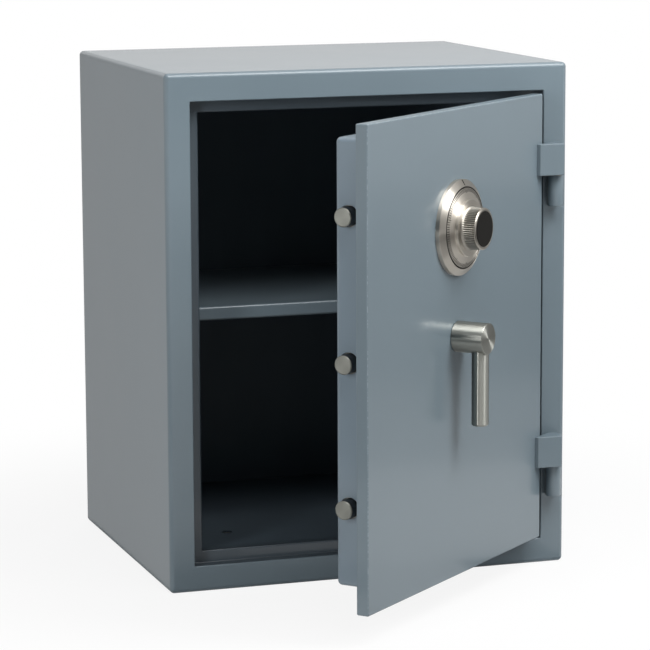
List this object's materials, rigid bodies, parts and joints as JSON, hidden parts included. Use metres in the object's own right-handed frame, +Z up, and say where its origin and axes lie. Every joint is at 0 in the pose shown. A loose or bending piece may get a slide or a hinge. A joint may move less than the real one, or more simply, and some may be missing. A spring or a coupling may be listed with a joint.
{
  "type": "security safe",
  "caption": "Free-standing steel security safe with a hinged door, round locking bolts, lever handle, combination dial and an inner shelf.",
  "frame": {"origin": "centre of the cabinet's underside, on the floor", "axes": "+X towards the hinge side, +Y towards the back, +Z up; the door's front faces -Y when shut"},
  "size_m": [0.53, 0.7531, 0.65],
  "materials": {
    "cabinet_paint": "semi-gloss blue-grey enamel",
    "hinge_paint": "semi-gloss blue-grey enamel",
    "lining_paint": "satin blue-grey enamel",
    "barrier_fill": "rough cast, hidden between the steel walls",
    "plated_steel": "zinc-plated, satin",
    "turned_steel": "turned and satin polished",
    "dark_cap": "near-black moulded cap",
    "zinc_casting": "as-cast zinc alloy",
    "brass": "machined"
  },
  "bodies": {
    "cabinet": {"outer_shell": "cabinet_paint", "back_panel": "cabinet_paint", "door_frame": "cabinet_paint", "inner_liner": "lining_paint", "barrier_fill": "barrier_fill", "anchor_sleeves": "plated_steel", "shelf": "lining_paint", "shelf_brackets": "lining_paint", "hinge_barrel_top": "hinge_paint", "hinge_barrel_bottom": "hinge_paint", "hinge_pin_top": "plated_steel", "hinge_pin_bottom": "plated_steel", "hinge_washers": "brass"},
    "door": {"door_plate": "cabinet_paint", "bolt_housing": "lining_paint", "back_cover": "lining_paint", "cover_screws": "plated_steel", "dead_bar": "plated_steel", "bolt_guide": "plated_steel", "bar_guide_studs": "plated_steel", "handle_bush": "brass", "dial_ring": "turned_steel", "spindle_tube": "brass", "wheel_spacers": "brass", "lock_case": "zinc_casting", "lock_cover": "zinc_casting", "lock_screws": "plated_steel", "hinge_block_top": "hinge_paint", "hinge_block_bottom": "hinge_paint"},
    "handle": {"handle_boss": "turned_steel", "handle_lever": "turned_steel", "handle_spindle": "plated_steel", "drive_pinion": "plated_steel", "pinion_pin": "plated_steel"},
    "boltwork": {"bolt_bar": "plated_steel", "drive_rack": "plated_steel", "rack_rivets": "plated_steel", "bolt_nuts": "plated_steel", "locking_bolt_top": "turned_steel", "locking_bolt_middle": "turned_steel", "locking_bolt_bottom": "turned_steel"},
    "dial": {"dial_disc": "turned_steel", "dial_knob": "turned_steel", "dial_cap": "dark_cap", "dial_spindle": "plated_steel", "drive_cam": "brass"},
    "wheel_1": {"combination_wheel_1": "brass"},
    "wheel_2": {"combination_wheel_2": "brass"},
    "wheel_3": {"combination_wheel_3": "brass"},
    "lock_bolt_assembly": {"lock_bolt": "brass", "lock_lever": "plated_steel", "fence_pin": "plated_steel"}
  },
  "joints": [
    {"name": "door_hinge", "type": "hinge", "parent": "cabinet", "child": "door", "pos_m": [0.246, -0.228, 0.325], "axis": [0, 0, 1], "range_deg": [-41.75, 63.25]},
    {"name": "handle_turn", "type": "hinge", "parent": "door", "child": "handle", "pos_m": [0.05175, -0.3873, 0.336], "axis": [-0.6659, 0.7461, 0], "range_deg": [0, 90]},
    {"name": "bolt_slide", "type": "slide", "parent": "door", "child": "boltwork", "axis": [-0.7461, -0.6659, 0], "range_m": [0, 0.022]},
    {"name": "dial_turn", "type": "hinge", "parent": "door", "child": "dial", "pos_m": [0.05175, -0.3873, 0.469], "axis": [-0.6659, 0.7461, 0], "continuous": true},
    {"name": "wheel_1_turn", "type": "hinge", "parent": "door", "child": "wheel_1", "pos_m": [0.0383, -0.37223, 0.469], "axis": [-0.6659, 0.7461, 0], "continuous": true},
    {"name": "wheel_2_turn", "type": "hinge", "parent": "door", "child": "wheel_2", "pos_m": [0.0359, -0.36955, 0.469], "axis": [-0.6659, 0.7461, 0], "continuous": true},
    {"name": "wheel_3_turn", "type": "hinge", "parent": "door", "child": "wheel_3", "pos_m": [0.0335, -0.36686, 0.469], "axis": [-0.6659, 0.7461, 0], "continuous": true},
    {"name": "lock_bolt_slide", "type": "slide", "parent": "door", "child": "lock_bolt_assembly", "axis": [0, 0, -1], "range_m": [0, 0.0095]}
  ],
  "couplings": [
    {"joint": "bolt_slide", "follows": "handle_turn", "m_per_rad": 0.014},
    {"joint": "wheel_1_turn", "follows": "dial_turn", "ratio": 1},
    {"joint": "wheel_2_turn", "follows": "dial_turn", "ratio": 1},
    {"joint": "wheel_3_turn", "follows": "dial_turn", "ratio": 1}
  ]
}
